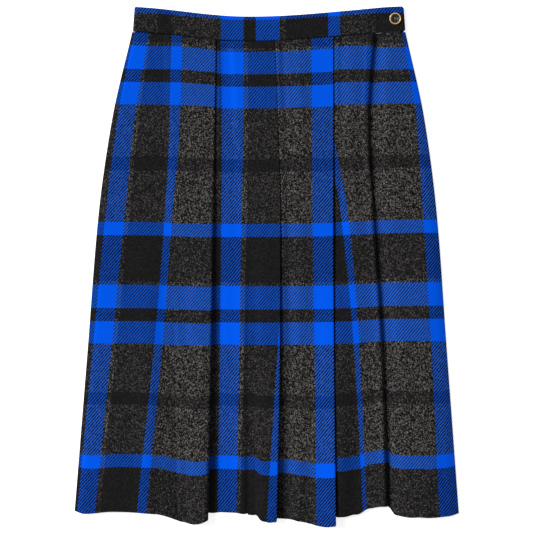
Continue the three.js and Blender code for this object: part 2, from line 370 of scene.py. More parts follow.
# One tuple of tracks for each stretch between two pleats, with the pleats' own edges at its ends
FRONT_STRIPES: tuple[tuple[StripeTrack, ...], ...] = (
    (
        StripeTrack("side", LEFT_SIDE, level(31)),
        StripeTrack("first wide blue, left", (-169.5, -191, -206, -222.5, -243), level(39)),
        StripeTrack("first wide blue, right", (-150.5, -169.5, -182, -199, -220), level(65)),
        StripeTrack(
            "first thin blue, left", (-122.5, -124, -130.5, -144.5, -166), level(116), (2, 1, 0, 0, 1.5),
        ),
        StripeTrack(
            "first thin blue, right", (-108, -110.5, -120.5, -134, -154), level(128),
            (2.5, 1.5, -0.5, -1, 2.5),
        ),
        StripeTrack("pleat", LEFT_PLEAT, (170.8, 172.3, 176.5, 172.9, 172.5), (1.5, 1, -0.5, -1.5, 2.2)),
    ),
    (
        StripeTrack("pleat", LEFT_PLEAT, (283, 280, 279, 278, 277)),
        StripeTrack("second wide blue, left", (-59, -57.5, -58, -60, -63), level(289)),
        StripeTrack("second wide blue, right", (-30, -30, -32.5, -35, -38.5), level(315)),
        StripeTrack("second thin blue, left", (30, 30, 27.5, 14, -0.3), level(366)),
        StripeTrack("pleat", CENTRE_PLEAT, (356, 358.5, 359.5, 368.8, 378.8)),
    ),
    (
        StripeTrack("pleat", CENTRE_PLEAT, (452.6, 456.5, 459, 456.8, 450.2)),
        StripeTrack("third wide blue, left", (57.5, 58.5, 58.8, 61.5, 64.2), level(500)),
        StripeTrack("pleat", RIGHT_PLEAT, level(526)),
    ),
    (
        StripeTrack("pleat", RIGHT_PLEAT, (630, 629.5, 607, 589.5, 580.7), (3.5, 2.3, 1, 0.5, 0)),
        StripeTrack("third thin blue, left", (67, 75, 95.3, 112, 124), level(616), (2, 2, 1, 0.5, 0)),
        StripeTrack(
            "third thin blue, right", (75, 84, 104.5, 119, 128), level(628), (1.2, 1.7, 1.2, 1.2, 0.5),
        ),
        StripeTrack(
            "tuck, left", (138, 131, 136.5, 147, 153.5), (682, 680, 672, 664, 656), (0.8, 1, 1.5, 3, 1.5),
        ),
        StripeTrack(
            "tuck, right", (141.5, 135, 140, 151, 157.5), (719, 693, 689, 690, 687), (-2.4, 2, 2.5, 3, 2),
        ),
        StripeTrack("fourth wide blue, left", (173, 192, 200.5, 211, 221), level(750), (-2.4, 1.7, 3, 3, 3)),
        StripeTrack("side", RIGHT_SIDE, (754, 758.5, 766, 768.5, 774.5), (-2.5, 1.7, 3, 3, 3)),
    ),
)

# The back as it is built, face up: its sides, its pleats' edges and their depths
BACK_DROOP = -2.0
BACK_LEE = 7.0
BACK_LEFT_SIDE: Levels = mirrored(RIGHT_SIDE)
BACK_LEFT_PLEAT: Levels = (-31, -35.5, -41, -49, -60.5)
BACK_CENTRE_PLEAT: Levels = (38.5, 32, 26, 24, 24)
BACK_RIGHT_PLEAT: Levels = (120.5, 117.5, 116, 114, 110)
BACK_RIGHT_SIDE: Levels = mirrored(LEFT_SIDE)
BACK_PLEATS: tuple[tuple[str, Levels, Levels], ...] = (
    ("left", BACK_LEFT_PLEAT, (53.5, 49.5, 43.5, 36, 27)),
    ("centre", BACK_CENTRE_PLEAT, (48.5, 46, 43.5, 40.5, 36)),
    ("right", BACK_RIGHT_PLEAT, (55.5, 51, 48, 43, 35)),
)


def back_lines() -> tuple[FoldLine, ...]:
    """Lines down the back.

    Returns:
        Its sides, and each pleat with the foot of its lee.
    """
    lines = [FoldLine("left side", BACK_LEFT_SIDE, droop=BACK_DROOP)]
    for name, x, depth in BACK_PLEATS:
        lines.append(FoldLine(f"{name} pleat", x, droop=BACK_DROOP, depth=depth, under=BACK_DROOP))
        lines.append(FoldLine(f"{name} lee", moved(x, BACK_LEE), droop=BACK_DROOP))
    lines.append(FoldLine("right side", BACK_RIGHT_SIDE, droop=BACK_DROOP))
    return tuple(lines)


BACK_CREASES = (
    Crease("left belly", (-140, -150, -158, -166, -172), 0.7, 16, 60, 900),
    Crease("left hollow", (-100, -108, -112, -118, -124), 0.6, 12, 260, 980),
    Crease("left crest", (-72, -76, -80, -88, -98), 0.7, 10, 330, 980),
    Crease("centre hollow", (0, -3, -6, -10, -14), 0.6, 9, 240, 900),
    Crease("right hollow", (66, 62, 58, 60, 62), 0.7, 12, 300, 980),
    Crease("right crest", (92, 88, 84, 84, 86), 0.5, 8, 120, 640),
    Crease("right belly", (146, 152, 160, 170, 176), 0.7, 15, 200, 960),
    Crease("right dip", (160, 172, 184, 196, 206), 0.5, 9, -100, 420),
)

BACK_STRIPES = (
    (
        StripeTrack("side", BACK_LEFT_SIDE, (46, 30, 20, 10, 0)),
        StripeTrack("pleat", BACK_LEFT_PLEAT, (192, 196, 196, 191, 185)),
    ),
    (
        StripeTrack("pleat", BACK_LEFT_PLEAT, (298, 295, 283, 263, 239)),
        StripeTrack("pleat", BACK_CENTRE_PLEAT, (368, 363, 350, 336, 324)),
    ),
    (
        StripeTrack("pleat", BACK_CENTRE_PLEAT, (464, 455, 437, 417, 396)),
        StripeTrack("pleat", BACK_RIGHT_PLEAT, (546, 541, 527, 507, 482)),
    ),
    (
        StripeTrack("pleat", BACK_RIGHT_PLEAT, (656, 643, 623, 593, 552)),
        StripeTrack("side", BACK_RIGHT_SIDE, (708, 723, 721, 707, 687)),
    ),
)


@dataclass(frozen=True)
class Sett:
    """The order of stripes across or along the weave: yarns, their widths, and where the first one starts."""

    name: str
    start: float
    bands: tuple[tuple[Yarn, float], ...]

    @property
    def repeat(self) -> float:
        """Width of one whole repeat."""
        return sum(width for _, width in self.bands)

    def edge(self, number: int) -> float:
        """Where a stripe starts, counted from the first one; earlier repeats have numbers below zero."""
        repeats, band = divmod(number, len(self.bands))
        return self.start + repeats * self.repeat + sum(width for _, width in self.bands[:band])


WARP_SETT = Sett(
    "warp stripes",
    0.0,
    (
        (Yarn.BLUE, 26.0),
        (Yarn.BLACK, 13.0),
        (Yarn.BLUE, 26.0),
        (Yarn.CHARCOAL, 6.0),
        (Yarn.BLACK, 45.0),
        (Yarn.BLUE, 11.0),
        (Yarn.CHARCOAL, 46.0),
        (Yarn.BLACK, 13.0),
        (Yarn.CHARCOAL, 64.0),
    ),
)
WEFT_SETT = Sett(
    "weft stripes",
    18.2,
    (
        (Yarn.BLUE, 29.6),
        (Yarn.BLACK, 16.1),
        (Yarn.BLUE, 29.6),
        (Yarn.CHARCOAL, 66.6),
        (Yarn.BLACK, 16.6),
        (Yarn.CHARCOAL, 67.5),
        (Yarn.BLUE, 16.5),
        (Yarn.BLACK, 58.5),
        (Yarn.CHARCOAL, 5.6),
    ),
)


class Graph:
    """A node tree with short ways to add nodes, values and links."""

    def __init__(self, tree: bpy.types.NodeTree) -> None:
        """Takes the tree that the nodes go into."""
        self.tree = tree

    def add(self, kind: str, feeds: dict[str, object] | None = None, **settings: object) -> bpy.types.Node:
        """Adds a node.

        Args:
            kind: the node's type.
            feeds: a socket or value for each of its inputs that gets one, by the input's name.
            settings: its own properties.

        Returns:
            The node.
        """
        node = self.tree.nodes.new(kind)
        for key, value in settings.items():
            setattr(node, key, value)
        for label, value in (feeds or {}).items():
            self.feed(node.inputs[label], value)
        return node

    def feed(self, socket: bpy.types.NodeSocket, value: object) -> None:
        """Links a socket into another, or sets its value.

        Args:
            socket: the input that is fed.
            value: an output to link, or a plain value.
        """
        if isinstance(value, bpy.types.NodeSocket):
            self.tree.links.new(value, socket)
        else:
            socket.default_value = value

    def math(self, operation: str, *values: object, clamp: bool = False) -> bpy.types.NodeSocket:
        """Adds a Math node.

        Args:
            operation: what it does.
            values: sockets or numbers that it works on.
            clamp: whether its result stays between 0 and 1.

        Returns:
            Its output.
        """
        node = self.add("ShaderNodeMath", operation=operation, use_clamp=clamp)
        for socket, value in zip(node.inputs, values):
            self.feed(socket, value)
        return node.outputs[0]

    def mix(self, factor: object, first: object, second: object) -> bpy.types.NodeSocket:
        """Mixes two colours.

        Args:
            factor: share of the second one.
            first: the colour at 0.
            second: the colour at 1.

        Returns:
            The mixed colour.
        """
        node = self.add("ShaderNodeMix", data_type="RGBA")
        self.feed(node.inputs[0], factor)
        self.feed(node.inputs[6], first)
        self.feed(node.inputs[7], second)
        return node.outputs[2]

    def mix_factor(self, factor: object, first: object, second: object) -> bpy.types.NodeSocket:
        """Mixes two numbers.

        Args:
            factor: share of the second one.
            first: the number at 0.
            second: the number at 1.

        Returns:
            The mixed number.
        """
        node = self.add("ShaderNodeMix", data_type="FLOAT")
        for socket, value in zip(node.inputs[:1] + node.inputs[2:4], (factor, first, second)):
            self.feed(socket, value)
        return node.outputs[0]

    def ramp(self, value: object, low: float, high: float) -> bpy.types.NodeSocket:
        """Adds a smooth rise.

        Args:
            value: what it follows.
            low: where it is 0.
            high: where it is 1.

        Returns:
            The rise.
        """
        feeds = {"Value": value, "From Min": low, "From Max": high}
        return self.add("ShaderNodeMapRange", feeds, interpolation_type="SMOOTHSTEP").outputs["Result"]

    def group(self, tree: bpy.types.NodeTree, feeds: dict[str, object]) -> bpy.types.Node:
        """Places a node group and feeds its inputs.

        Args:
            tree: the group.
            feeds: a socket or value for each input, by its name.

        Returns:
            The group's node.
        """
        node = self.add("ShaderNodeGroup", node_tree=tree)
        for label, value in feeds.items():
            self.feed(node.inputs[label], value)
        return node


def new_group(
    name: str, inputs: Iterable[tuple[str, str]], outputs: Iterable[tuple[str, str]]
) -> tuple[Graph, bpy.types.Node, bpy.types.Node]:
    """Starts a shader node group.

    Args:
        name: the group's name.
        inputs: name and socket type of each input.
        outputs: the same for each output.

    Returns:
        Its graph, its input node and its output node.
    """
    tree = bpy.data.node_groups.new(name, "ShaderNodeTree")
    for label, kind in inputs:
        tree.interface.new_socket(label, in_out="INPUT", socket_type=kind)
    for label, kind in outputs:
        tree.interface.new_socket(label, in_out="OUTPUT", socket_type=kind)
    graph = Graph(tree)
    return graph, graph.add("NodeGroupInput"), graph.add("NodeGroupOutput")


FLOAT = "NodeSocketFloat"
TWILL_NOISE_SCALE = 0.55
TWILL_EDGE = 0.1
HEATHER_SKEW = 3.6


def start_material(name: str, roughness: float) -> tuple[bpy.types.Material, Graph, bpy.types.Node]:
    """Starts a node material.

    Args:
        name: the material's name.
        roughness: its even roughness.

    Returns:
        The material, its graph and its Principled shader.
    """
    material = bpy.data.materials.new(name)
    material.use_nodes = True
    shader = material.node_tree.nodes["Principled BSDF"]
    shader.inputs["Roughness"].default_value = roughness
    return material, Graph(material.node_tree), shader


def object_noise(graph: Graph, scale: float) -> bpy.types.NodeSocket:
    """Adds noise on Object coordinates, and gives its values."""
    place = graph.add("ShaderNodeTexCoord").outputs["Object"]
    return graph.add("ShaderNodeTexNoise", {"Vector": place, "Scale": scale}).outputs["Fac"]


def stripe_group(sett: Sett) -> bpy.types.NodeTree:
    """Group that says which yarn lies at a place of the weave: outputs Blue and Black, else it is charcoal.

    Args:
        sett: the order of the stripes.

    Returns:
        The group.
    """
    graph, given, put = new_group(sett.name, [("Place", FLOAT)], [("Blue", FLOAT), ("Black", FLOAT)])
    shifted = graph.math("SUBTRACT", given.outputs["Place"], sett.start)
    share = graph.math("FRACT", graph.math("DIVIDE", shifted, sett.repeat))
    ramp = graph.add("ShaderNodeValToRGB")
    ramp.color_ramp.interpolation = "CONSTANT"
    code = {Yarn.BLUE: (1, 0, 0, 1), Yarn.BLACK: (0, 1, 0, 1), Yarn.CHARCOAL: (0, 0, 0, 1)}
    stops = ramp.color_ramp.elements
    edge = 0.0
    for i, (yarn, width) in enumerate(sett.bands):
        stop = stops[i] if i < 2 else stops.new(edge / sett.repeat)
        stop.position = edge / sett.repeat
        stop.color = code[yarn]
        edge += width
    graph.feed(ramp.inputs["Fac"], share)
    split = graph.add("ShaderNodeSeparateColor", {"Color": ramp.outputs["Color"]})
    graph.feed(put.inputs["Blue"], split.outputs["Red"])
    graph.feed(put.inputs["Black"], split.outputs["Green"])
    return graph.tree


def twill_group() -> bpy.types.NodeTree:
    """Group for the diagonal of a twill.

    Returns:
        The group, with outputs for how much of the warp covers the weft, and for the rib's height.
    """
    graph, given, put = new_group(
        "twill",
        [(label, FLOAT) for label in ("Across", "Along", "Pitch", "Slant", "Waver", "Weft Share")],
        [("Warp Cover", FLOAT), ("Rib", FLOAT)],
    )
    joined = graph.add("ShaderNodeCombineXYZ", {"X": given.outputs["Across"], "Y": given.outputs["Along"]})
    feeds = {"Vector": joined.outputs[0], "Scale": TWILL_NOISE_SCALE, "Detail": 1.0}
    noise = graph.add("ShaderNodeTexNoise", feeds, noise_dimensions="2D")
    waver = graph.math("MULTIPLY", graph.math("SUBTRACT", noise.outputs["Fac"], 0.5), given.outputs["Waver"])
    slanted = graph.math("MULTIPLY", given.outputs["Along"], given.outputs["Slant"])
    run = graph.math("ADD", graph.math("ADD", given.outputs["Across"], slanted), waver)
    phase = graph.math("FRACT", graph.math("DIVIDE", run, given.outputs["Pitch"]))
    wave = graph.math("ABSOLUTE", graph.math("SUBTRACT", graph.math("MULTIPLY", phase, 2), 1))
    ahead = graph.math("SUBTRACT", wave, given.outputs["Weft Share"])
    graph.feed(put.inputs["Warp Cover"], graph.ramp(ahead, -TWILL_EDGE, TWILL_EDGE))
    graph.feed(put.inputs["Rib"], graph.math("SINE", graph.math("MULTIPLY", phase, math.pi)))
    return graph.tree


def heather_group() -> bpy.types.NodeTree:
    """Group for salt-and-pepper yarn.

    Returns:
        The group, whose grains are mostly dark, with a few light ones.
    """
    graph, given, put = new_group(
        "heather",
        [("Across", FLOAT), ("Along", FLOAT), ("Grain", FLOAT), ("Stretch", FLOAT)],
        [("Speckle", FLOAT)],
    )
    long_grain = graph.math("MULTIPLY", given.outputs["Grain"], given.outputs["Stretch"])
    across = graph.math("DIVIDE", given.outputs["Across"], given.outputs["Grain"])
    along = graph.math("DIVIDE", given.outputs["Along"], long_grain)
    joined = graph.add("ShaderNodeCombineXYZ", {"X": across, "Y": along})
    feeds = {"Vector": joined.outputs[0], "Scale": 1.0}
    grains = graph.add("ShaderNodeTexVoronoi", feeds, voronoi_dimensions="2D")
    split = graph.add("ShaderNodeSeparateColor", {"Color": grains.outputs["Color"]})
    graph.feed(put.inputs["Speckle"], graph.math("POWER", split.outputs["Red"], HEATHER_SKEW))
    return graph.tree


@dataclass(frozen=True)
class PlaidWool:
    """Woollen twill in blue, black and heathered charcoal, coloured by its place in the weave, with painted
    shade on the darker yarn where it crosses blue.
    """

    name: str = "plaid wool"
    blue: Colour = srgb(0, 83, 222)
    blue_beside_dark: Colour = srgb(28, 92, 204)
    blue_beside_black: Colour = srgb(14, 78, 186)
    black: Colour = srgb(23, 22, 23)
    black_nap: Colour = srgb(40, 38, 40)
    charcoal_dark: Colour = srgb(13, 13, 13)
    charcoal_light: Colour = srgb(113, 110, 106)
    # Painted shade: near-black colour for the shadow in the gaps between floats where blue crosses a darker
    # yarn.
    gap: Colour = srgb(4, 4, 6)
    twill_pitch: float = 4.0
    twill_slant: float = 0.84
    twill_waver: float = 1.2
    blue_fineness: float = 0.04
    # How much painted gap shade goes into the darker yarn where one yarn is blue and the other is not.
    painted_gap_shade: float = 0.8
    dark_contrast: float = 0.42
    black_lead: float = 0.3
    heather_grain: float = 1.0
    heather_stretch: float = 1.15
    fuzz: float = 0.22
    speckle_in_black: float = 0.5
    roughness: float = 0.9
    specular: float = 0.03
    relief: float = 0.14 * MM
    relief_strength: float = 0.5
    rib_share: float = 0.4

    def millimetres(self, graph: Graph, uv_map: str) -> tuple[bpy.types.NodeSocket, bpy.types.NodeSocket]:
        """Reads one of the piece's maps.

        Args:
            graph: the material's graph.
            uv_map: the map's name.

        Returns:
            Both of its directions, in millimetres.
        """
        place = graph.add("ShaderNodeUVMap", uv_map=uv_map)
        split = graph.add("ShaderNodeSeparateXYZ", {"Vector": place.outputs["UV"]})
        return graph.math("DIVIDE", split.outputs["X"], MM), graph.math("DIVIDE", split.outputs["Y"], MM)

    def make(self) -> bpy.types.Material:
        """Builds the material.

        Returns:
            The material, which reads the piece's maps: stripes from one, the weave's relief from the other.
        """
        material, graph, shader = start_material(self.name, self.roughness)
        shader.inputs["Specular IOR Level"].default_value = self.specular
        across, along = self.millimetres(graph, WEAVE_MAP)
        cloth_across, cloth_along = self.millimetres(graph, CLOTH_MAP)
        on_cloth = {"Across": cloth_across, "Along": cloth_along}
        grain = {"Grain": self.heather_grain, "Stretch": self.heather_stretch}
        heather = graph.group(heather_group(), on_cloth | grain)
        speckle = heather.outputs["Speckle"]
        charcoal = graph.mix(speckle, self.charcoal_dark, self.charcoal_light)
        blues = []
        blacks = []
        for sett, place in ((WARP_SETT, across), (WEFT_SETT, along)):
            stripes = graph.group(stripe_group(sett), {"Place": place})
            blues.append(stripes.outputs["Blue"])
            blacks.append(stripes.outputs["Black"])
        lead = graph.math("SUBTRACT", blues[0], blues[1])
        mixed = graph.math("ABSOLUTE", lead)
        rib = {"Pitch": self.twill_pitch, "Slant": self.twill_slant, "Waver": self.twill_waver}
        weft = {"Weft Share": graph.math("MULTIPLY_ADD", lead, self.blue_fineness, 0.5)}
        twill = graph.group(twill_group(), on_cloth | rib | weft)
        cover = graph.mix_factor(self.fuzz, twill.outputs["Warp Cover"], speckle)
        blended = graph.math("MULTIPLY_ADD", cover, self.dark_contrast, (1 - self.dark_contrast) / 2)
        share = graph.mix_factor(graph.mix_factor(mixed, blended, cover), blacks[1], blacks[0])
        grip = graph.math("MULTIPLY_ADD", speckle, self.speckle_in_black, self.black_lead)
        blackness = graph.math("POWER", share, grip)
        dark = graph.mix(blackness, charcoal, graph.mix(speckle, self.black, self.black_nap))
        beside = graph.mix(graph.math("MAXIMUM", *blacks), self.blue_beside_dark, self.blue_beside_black)
        blue = graph.mix(mixed, self.blue, beside)
        on_top = graph.mix_factor(cover, blues[1], blues[0])
        # Painted shade: where one yarn is blue and the other is not, the darker yarn is mixed towards the
        # near-black gap colour.
        painted_gap_share = graph.math("MULTIPLY", mixed, self.painted_gap_shade)
        colour = graph.mix(on_top, graph.mix(painted_gap_share, dark, self.gap), blue)
        graph.feed(shader.inputs["Base Color"], colour)
        height = graph.math("MULTIPLY_ADD", twill.outputs["Rib"], self.rib_share, speckle)
        feeds = {"Strength": self.relief_strength, "Distance": self.relief, "Height": height}
        graph.feed(shader.inputs["Normal"], graph.add("ShaderNodeBump", feeds).outputs["Normal"])
        return material


@dataclass(frozen=True)
class Moulded:
    """Dark moulded button face with faint flecks."""

    name: str = "dark button"
    base: Colour = srgb(15, 14, 14)
    fleck: Colour = srgb(52, 47, 40)
    fleck_range: tuple[float, float] = (0.55, 0.75)
    fleck_scale: float = 900.0
    roughness: float = 0.5

    def make(self) -> bpy.types.Material:
        """Builds the material.

        Returns:
            The material, which reads Object coordinates.
        """
        material, graph, shader = start_material(self.name, self.roughness)
        mask = graph.ramp(object_noise(graph, self.fleck_scale), *self.fleck_range)
        graph.feed(shader.inputs["Base Color"], graph.mix(mask, self.base, self.fleck))
        return material


@dataclass(frozen=True)
class Brass:
    """Satin brass with a little tarnish."""

    name: str = "brass rim"
    bright: Colour = srgb(232, 196, 132)
    tarnish: Colour = srgb(168, 122, 62)
    tarnish_range: tuple[float, float] = (0.5, 0.72)
    tarnish_scale: float = 700.0
    metallic: float = 0.6
    roughness: float = 0.42
    tarnish_roughness: float = 0.2

    def make(self) -> bpy.types.Material:
        """Builds the material.

        Returns:
            The material, which reads Object coordinates.
        """
        material, graph, shader = start_material(self.name, self.roughness)
        shader.inputs["Metallic"].default_value = self.metallic
        mask = graph.ramp(object_noise(graph, self.tarnish_scale), *self.tarnish_range)
        graph.feed(shader.inputs["Base Color"], graph.mix(mask, self.bright, self.tarnish))
        rough = graph.math("MULTIPLY_ADD", mask, self.tarnish_roughness, self.roughness)
        graph.feed(shader.inputs["Roughness"], rough)
        return material


@dataclass(frozen=True)
class Thread:
    """Twisted sewing thread."""

    name: str
    colour: Colour
    roughness: float = 0.7
    twist_scale: float = 800.0
    shade: float = 0.45

    def make(self) -> bpy.types.Material:
        """Builds the material.

        Returns:
            The material, with painted shade for the twist's grooves as fine diagonal bands along Object
            coordinates.
        """
        material, graph, shader = start_material(self.name, self.roughness)
        feeds = {"Vector": graph.add("ShaderNodeTexCoord").outputs["Object"], "Scale": self.twist_scale}
        twist = graph.add("ShaderNodeTexWave", feeds, bands_direction="DIAGONAL")
        # Painted shade: a darker copy of the thread's colour for the twist's grooves.
        shade = tuple(value * self.shade for value in self.colour[:3]) + (1.0,)
        graph.feed(shader.inputs["Base Color"], graph.mix(twist.outputs["Fac"], shade, self.colour))
        return material


def add_piece(
    name: str, points: Sequence[Sequence[float]], faces: Sequence[Sequence[int]],
    edges: Sequence[tuple[int, int]] = (),
) -> bpy.types.Object:
    """Adds a smooth mesh object at the origin.

    Args:
        name: the piece's name.
        points: its points, in metres.
        faces: each face's points, by number.
        edges: the same for loose edges.

    Returns:
        The new object.
    """
    mesh = bpy.data.meshes.new(name)
    mesh.from_pydata(points, edges, faces)
    mesh.shade_smooth()
    piece = bpy.data.objects.new(name, mesh)
    bpy.context.scene.collection.objects.link(piece)
    return piece


def make_plain(piece: bpy.types.Object) -> bpy.types.Object:
    """Turns what a piece's modifiers make into its own plain mesh.

    Args:
        piece: the piece.

    Returns:
        The same piece.
    """
    bpy.context.view_layer.update()
    made = bpy.data.meshes.new_from_object(piece.evaluated_get(bpy.context.evaluated_depsgraph_get()))
    piece.modifiers.clear()
    piece.data = made
    return piece


def grid_mesh(
    name: str, rings: np.ndarray, maps: dict[str, np.ndarray], material: bpy.types.Material
) -> bpy.types.Object:
    """Makes a closed shell from rings of points that each go round a section.

    Args:
        name: the piece's name.
        rings: points in millimetres, ring by ring; each runs up one side of the wall and back down the other.
        maps: each UV map's name, with its two values at every point, in millimetres.
        material: the piece's finish.

    Returns:
        The new object, smooth, with its maps.
    """
    count, around = rings.shape[:2]
    index = np.arange(count * around).reshape(count, around)
    nxt = np.roll(index, -1, axis=1)
    sides = np.stack([index[:-1], index[1:], nxt[1:], nxt[:-1]], axis=-1).reshape(-1, 4)
    half = around // 2
    caps = []
    for ring, turn in ((index[0], 1), (index[-1], -1)):
        up = ring[:half]
        down = ring[half:][::-1]
        cap = np.stack([up[:-1], up[1:], down[1:], down[:-1]], axis=-1)
        caps.append(cap[:, ::turn])
    faces = np.concatenate([sides, *caps])
    piece = add_piece(name, (rings.reshape(-1, 3) * MM).tolist(), faces.tolist())
    mesh = piece.data
    corner = np.empty(len(mesh.loops), np.int32)
    mesh.loops.foreach_get("vertex_index", corner)
    for label, values in maps.items():
        uv = mesh.uv_layers.new(name=label)
        uv.data.foreach_set("uv", (values.reshape(-1, 2)[corner] * MM).astype(np.float32).ravel())
    mesh.materials.append(material)
    mesh.validate()
    return piece


def outward(piece: bpy.types.Object) -> bpy.types.Object:
    """Turns a closed piece's faces outwards if they point in.

    Args:
        piece: the piece.

    Returns:
        The same piece.
    """
    mesh = piece.data
    mesh.calc_loop_triangles()
    co = np.empty(len(mesh.vertices) * 3, np.float32)
    mesh.vertices.foreach_get("co", co)
    tri = np.empty(len(mesh.loop_triangles) * 3, np.int32)
    mesh.loop_triangles.foreach_get("vertices", tri)
    a, b, c = co.reshape(-1, 3).astype(float)[tri.reshape(-1, 3)].transpose(1, 0, 2)
    if (a * np.cross(b, c)).sum() < 0:
        mesh.flip_normals()
    return piece


@dataclass
class ClothPanel:
    """One panel of the skirt: a wall of cloth in knife pleats, with rounded edges and its weave."""

    name: str
    node: str
    lines: tuple[FoldLine, ...]
    stripes: tuple[tuple[StripeTrack, ...], ...]
    creases: tuple[Crease, ...] = ()
    ripples: tuple[Ripple, ...] = ()
    flat: tuple[float, float] = (0.70, 0.617)
    face_step: float = 2.4
    length_step: float = 5.2
    arc_steps: int = 12
    hidden_steps: int = 8
    rests_on: tuple[str, ...] = ()
    least_steps: int = 3
    lee_steps: int = 8
    lee_crowding: float = 1.5
    track_gap: float = 0.3
    hidden_end: float = 0.1
    end_bends: tuple[float, ...] = (30.0, 60.0, 82.0)
    start_gap: float = 0.9
    start_margin: float = 0.95
    end_margin: float = 3.5
    seam_pinch: float = 0.3
    pinch_fade: float = 2.5
    piece: bpy.types.Object | None = field(default=None, repr=False)

    def counts(self) -> list[int]:
        """How many steps the stretch before each line has.

        Returns:
            The steps, worked out from each stretch's width at the hem.
        """
        hems = [line.x[-1] for line in self.lines]
        widths = [0.0] + [b - a for a, b in zip(hems, hems[1:])]
        after_pleat = [False] + [line.depth is not None for line in self.lines]
        return [
            max(self.lee_steps if lee else self.least_steps, math.ceil(width / self.face_step))
            for width, lee in zip(widths, after_pleat)
        ]

    def face(
        self, knots: list[tuple[float, float, float]], steps: list[int], down: float,
        covered: float = math.inf,
    ) -> np.ndarray:
        """Points of a visible run, with the soft creases whose lines lie in it.

        Args:
            knots: x, z and droop of the lines that it crosses.
            steps: how many steps each stretch between two knots has.
            down: distance below the seam.
            covered: x from where it lies on the hidden layers of the pleat at its end.

        Returns:
            Rows of x, z and droop, without the last knot.
        """
        x, z, droop = np.array(knots).T
        places = np.concatenate(
            [np.linspace(a, b, count, endpoint=False) for a, b, count in zip(x, x[1:], steps)]
        )
        crowded = np.linspace(0, 1, steps[0], endpoint=False) ** self.lee_crowding
        places[: steps[0]] = x[0] + (x[1] - x[0]) * crowded
        begun = (places - x[0] - self.start_gap) / self.start_margin
        inside = np.clip(np.minimum(begun, (x[-1] - places) / self.end_margin), 0, 1)
        own = [crease for crease in self.creases if x[0] < at_level(crease.x, down) < x[-1]]
        lift = sum((crease.lift(places, down) for crease in own), np.zeros(len(places)))
        plain = smooth_curve(x, z, places)
        bed = np.minimum(plain, np.where(places > covered, FACE, LOWEST))
        height = np.maximum(plain + lift * ease(inside), bed)
        return np.stack([places, height, smooth_curve(x, droop, places)], axis=-1)

    def pleat(self, line: FoldLine, down: float, radius: float, after: float) -> np.ndarray:
        """Points round a knife pleat, from its crest to the hidden run: rows of x, z and droop.

        Args:
            line: the pleat's outer edge.
            down: distance below the seam.
            radius: bend radius of the outer fold there.
            after: droop of the next panel.

        Returns:
            The rows. The first arc_steps / 2 of them lie on the part of the fold that shows.
        """
        edge = at_level(line.x, down)
        depth = at_level(line.depth, down)
        inner = edge - depth
        turn = np.linspace(math.pi / 2, -math.pi / 2, self.arc_steps, endpoint=False)
        reach = radius * line.tip
        outer_x = edge - reach + reach * np.abs(np.cos(turn)) ** line.roundness
        outer_z = RETURN + radius + radius * np.sign(np.sin(turn)) * np.abs(np.sin(turn)) ** line.roundness
        back_x = np.linspace(edge - reach, inner + PRESSED, self.hidden_steps, endpoint=False)
        bend = np.linspace(math.pi / 2, 3 * math.pi / 2, self.arc_steps, endpoint=False)
        inner_x = inner + PRESSED + PRESSED * np.cos(bend)
        inner_z = HIDDEN + PRESSED + PRESSED * np.sin(bend)
        low_x = np.linspace(inner + PRESSED, edge, self.hidden_steps, endpoint=False)
        x = np.concatenate([outer_x, back_x, inner_x, low_x])
        flat_runs = [np.full(self.hidden_steps, height) for height in (RETURN, HIDDEN)]
        z = np.concatenate([outer_z, flat_runs[0], inner_z, flat_runs[1]])
        half = self.arc_steps + self.hidden_steps
        droop = np.concatenate(
            [
                np.linspace(line.droop, line.under, half, endpoint=False),
                np.linspace(line.under, after, half, endpoint=False),
            ]
        )
        return np.stack([x, z, droop], axis=-1)

    def weave_at(self, tracks: tuple[StripeTrack, ...], down: float, x: np.ndarray) -> np.ndarray:
        """Place in the weave of points on one visible run.

        Args:
            tracks: the stripes' edges on it.
            down: distance below the seam.
            x: the points' places.

        Returns:
            Rows of warp place and slip.
        """
        rows = [(at_level(t.x, down), at_level(t.weave, down), at_level(t.slip, down)) for t in tracks]
        first, last = rows[0][0], rows[-1][0]
        gap = self.track_gap
        between = [row for row in rows[1:-1] if first + gap < row[0] < last - gap]
        places, warp, slip = np.array([rows[0], *between, rows[-1]]).T
        return np.stack([np.interp(x, places, warp), np.interp(x, places, slip)], axis=-1)

    def section(self, down: float) -> np.ndarray:
        """The panel's section at one distance below the seam.

        Args:
            down: the distance.

        Returns:
            Rows of x, z, droop, warp place, slip and length along the cloth from its middle.
        """
        puff = (down / CLOTH_LENGTH) ** PUFF_POWER
        steps = self.counts()
        rows: list[np.ndarray] = []
        knots: list[tuple[float, float, float]] = []
        counts: list[int] = []
        bay = 0
        for i, line in enumerate(self.lines):
            x = at_level(line.x, down)
            if knots:
                counts.append(steps[i])
            if line.depth is None:
                knots.append((x, line.z[0] + (line.z[1] - line.z[0]) * puff, line.droop))
                continue
            radius = PRESSED + (line.radius - PRESSED) * puff
            knots.append((x - radius * line.tip, RETURN + 2 * radius, line.droop))
            shown = self.face(knots, counts, down, x - at_level(line.depth, down) - PITCH)
            after = self.lines[i + 1].droop
            hidden = self.pleat(line, down, radius, after)
            seen = self.arc_steps // 2
            shown = np.concatenate([shown, hidden[:seen]])
            rest = hidden[seen:]
            weave = self.weave_at(self.stripes[bay], down, shown[:, 0])
            length = running_length(rest[:, :2])
            share = length / (length[-1] + self.hidden_end)
            begin = self.weave_at(self.stripes[bay], down, np.array([x]))
            end = self.weave_at(self.stripes[bay + 1], down, np.array([x]))
            under = begin + (end - begin) * share[:, None]
            rows.append(np.hstack([shown, weave]))
            rows.append(np.hstack([rest, under]))
            knots = [(x, HIDDEN, after)]
            counts = []
            bay += 1
        shown = np.vstack([self.face(knots, counts, down), [knots[-1]]])
        rows.append(np.hstack([shown, self.weave_at(self.stripes[bay], down, shown[:, 0])]))
        whole = np.vstack(rows)
        run = running_length(whole[:, :2])
        return np.hstack([whole, (run - run[-1] / 2)[:, None]])

